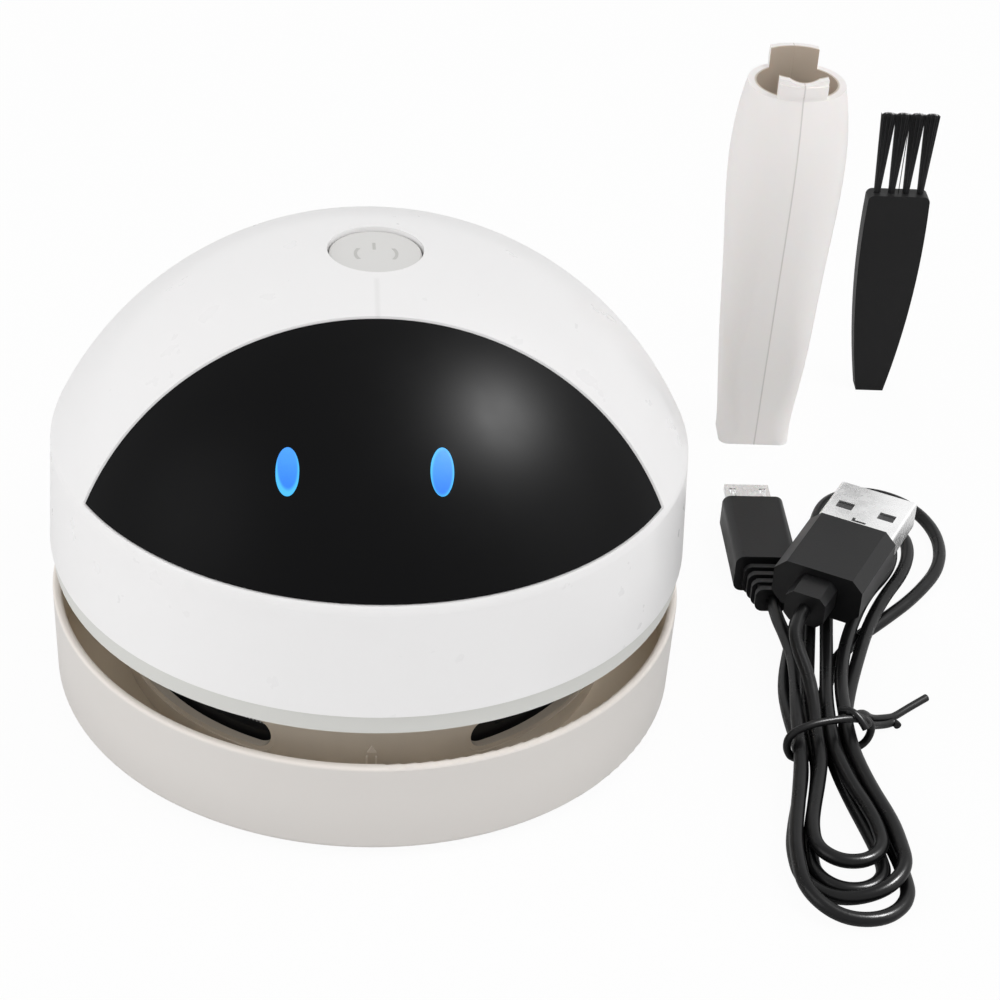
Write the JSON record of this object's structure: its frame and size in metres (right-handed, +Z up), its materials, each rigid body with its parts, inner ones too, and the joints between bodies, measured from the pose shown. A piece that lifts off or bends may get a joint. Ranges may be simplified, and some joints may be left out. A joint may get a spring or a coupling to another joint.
{
  "type": "desktop mini vacuum cleaner",
  "caption": "Small domed desktop vacuum cleaner with a dark face panel, a button on top and an air gap all round, with its nozzle, cleaning brush and charging cable beside it.",
  "frame": {"origin": "on the cleaner's axis at table level, under the suction mouth", "axes": "+Z up along the cleaner's axis; the face panel looks along -Y; the accessories lie at +X"},
  "size_m": [0.1381, 0.1395, 0.0662],
  "materials": {
    "white_shell": "glossy",
    "ring_plastic": "glossy, warm pale grey",
    "trim_plastic": "satin, pale grey",
    "skirt_plastic": "glossy, warm grey",
    "filter_frame": "matt black",
    "filter_mesh": "woven mesh, grey",
    "felt": "soft, dark",
    "bristle": "dark nylon",
    "inner_plastic": "matt",
    "steel": "plain steel",
    "impeller_plastic": "matt dark",
    "cell_wrap": "shrink-wrapped cell",
    "circuit_board": "green solder mask",
    "electronic_part": "moulded black",
    "lamp": "white lamp body",
    "face_panel": "gloss black",
    "light_lens": "clear blue",
    "button_plastic": "satin grey",
    "nozzle_plastic": "satin, pale grey-white",
    "brush_plastic": "matt black",
    "tuft_nylon": "black nylon",
    "cord_jacket": "soft satin black",
    "plug_moulding": "satin black",
    "plated_steel": "bright nickel"
  },
  "bodies": {
    "base": {"dust_box": "ring_plastic", "filter_spigot": "ring_plastic", "foot_pads": "felt", "brush_strip": "inner_plastic", "bristles": "bristle"},
    "head": {"vent_skirt": "skirt_plastic", "filter_cartridge": "filter_frame", "filter_mesh": "filter_mesh", "deck": "trim_plastic", "deck_screws": "steel", "skirt_screws": "steel", "motor_can": "steel", "motor_cap": "inner_plastic", "motor_screws": "steel", "battery_cradle": "inner_plastic", "battery_cell": "cell_wrap", "charge_board": "circuit_board", "charge_parts": "electronic_part", "usb_socket": "steel", "top_shell": "white_shell", "face_panel": "face_panel", "light_lens_left": "light_lens", "light_lens_right": "light_lens", "led_board": "circuit_board", "leds": "lamp", "switch": "electronic_part", "switch_board": "circuit_board"},
    "fan": {"motor_shaft": "steel", "impeller": "impeller_plastic"},
    "button": {"button": "button_plastic", "switch_plunger": "electronic_part"},
    "nozzle": {"nozzle": "nozzle_plastic"},
    "cleaning_brush": {"brush_handle": "brush_plastic", "brush_tufts": "tuft_nylon"},
    "charging_cable": {"cable_hank": "cord_jacket", "cable_tie": "cord_jacket", "cable_lead_micro": "cord_jacket", "cable_lead_usb": "cord_jacket", "usb_a_grip": "plug_moulding", "usb_a_shell": "plated_steel", "usb_a_tongue": "electronic_part", "micro_grip": "plug_moulding", "micro_shell": "plated_steel", "micro_tongue": "electronic_part"}
  },
  "joints": [
    {"name": "head_lift", "type": "slide", "parent": "base", "child": "head", "axis": [0, 0, 1], "range_m": [0, 0.03]},
    {"name": "fan_spin", "type": "hinge", "parent": "head", "child": "fan", "pos_m": [0, 0, 0.02], "axis": [0, 0, 1], "continuous": true},
    {"name": "button_press", "type": "slide", "parent": "head", "child": "button", "axis": [0, 0, -1], "range_m": [0, 0.0006], "stiffness_N_per_m": 400},
    {"name": "nozzle_lift", "type": "slide", "parent": "base", "child": "nozzle", "axis": [0, 0, 1], "range_m": [0, 0.06]},
    {"name": "brush_lift", "type": "slide", "parent": "base", "child": "cleaning_brush", "axis": [0, 0, 1], "range_m": [0, 0.06]},
    {"name": "cable_lift", "type": "slide", "parent": "base", "child": "charging_cable", "axis": [0, 0, 1], "range_m": [0, 0.03]}
  ]
}
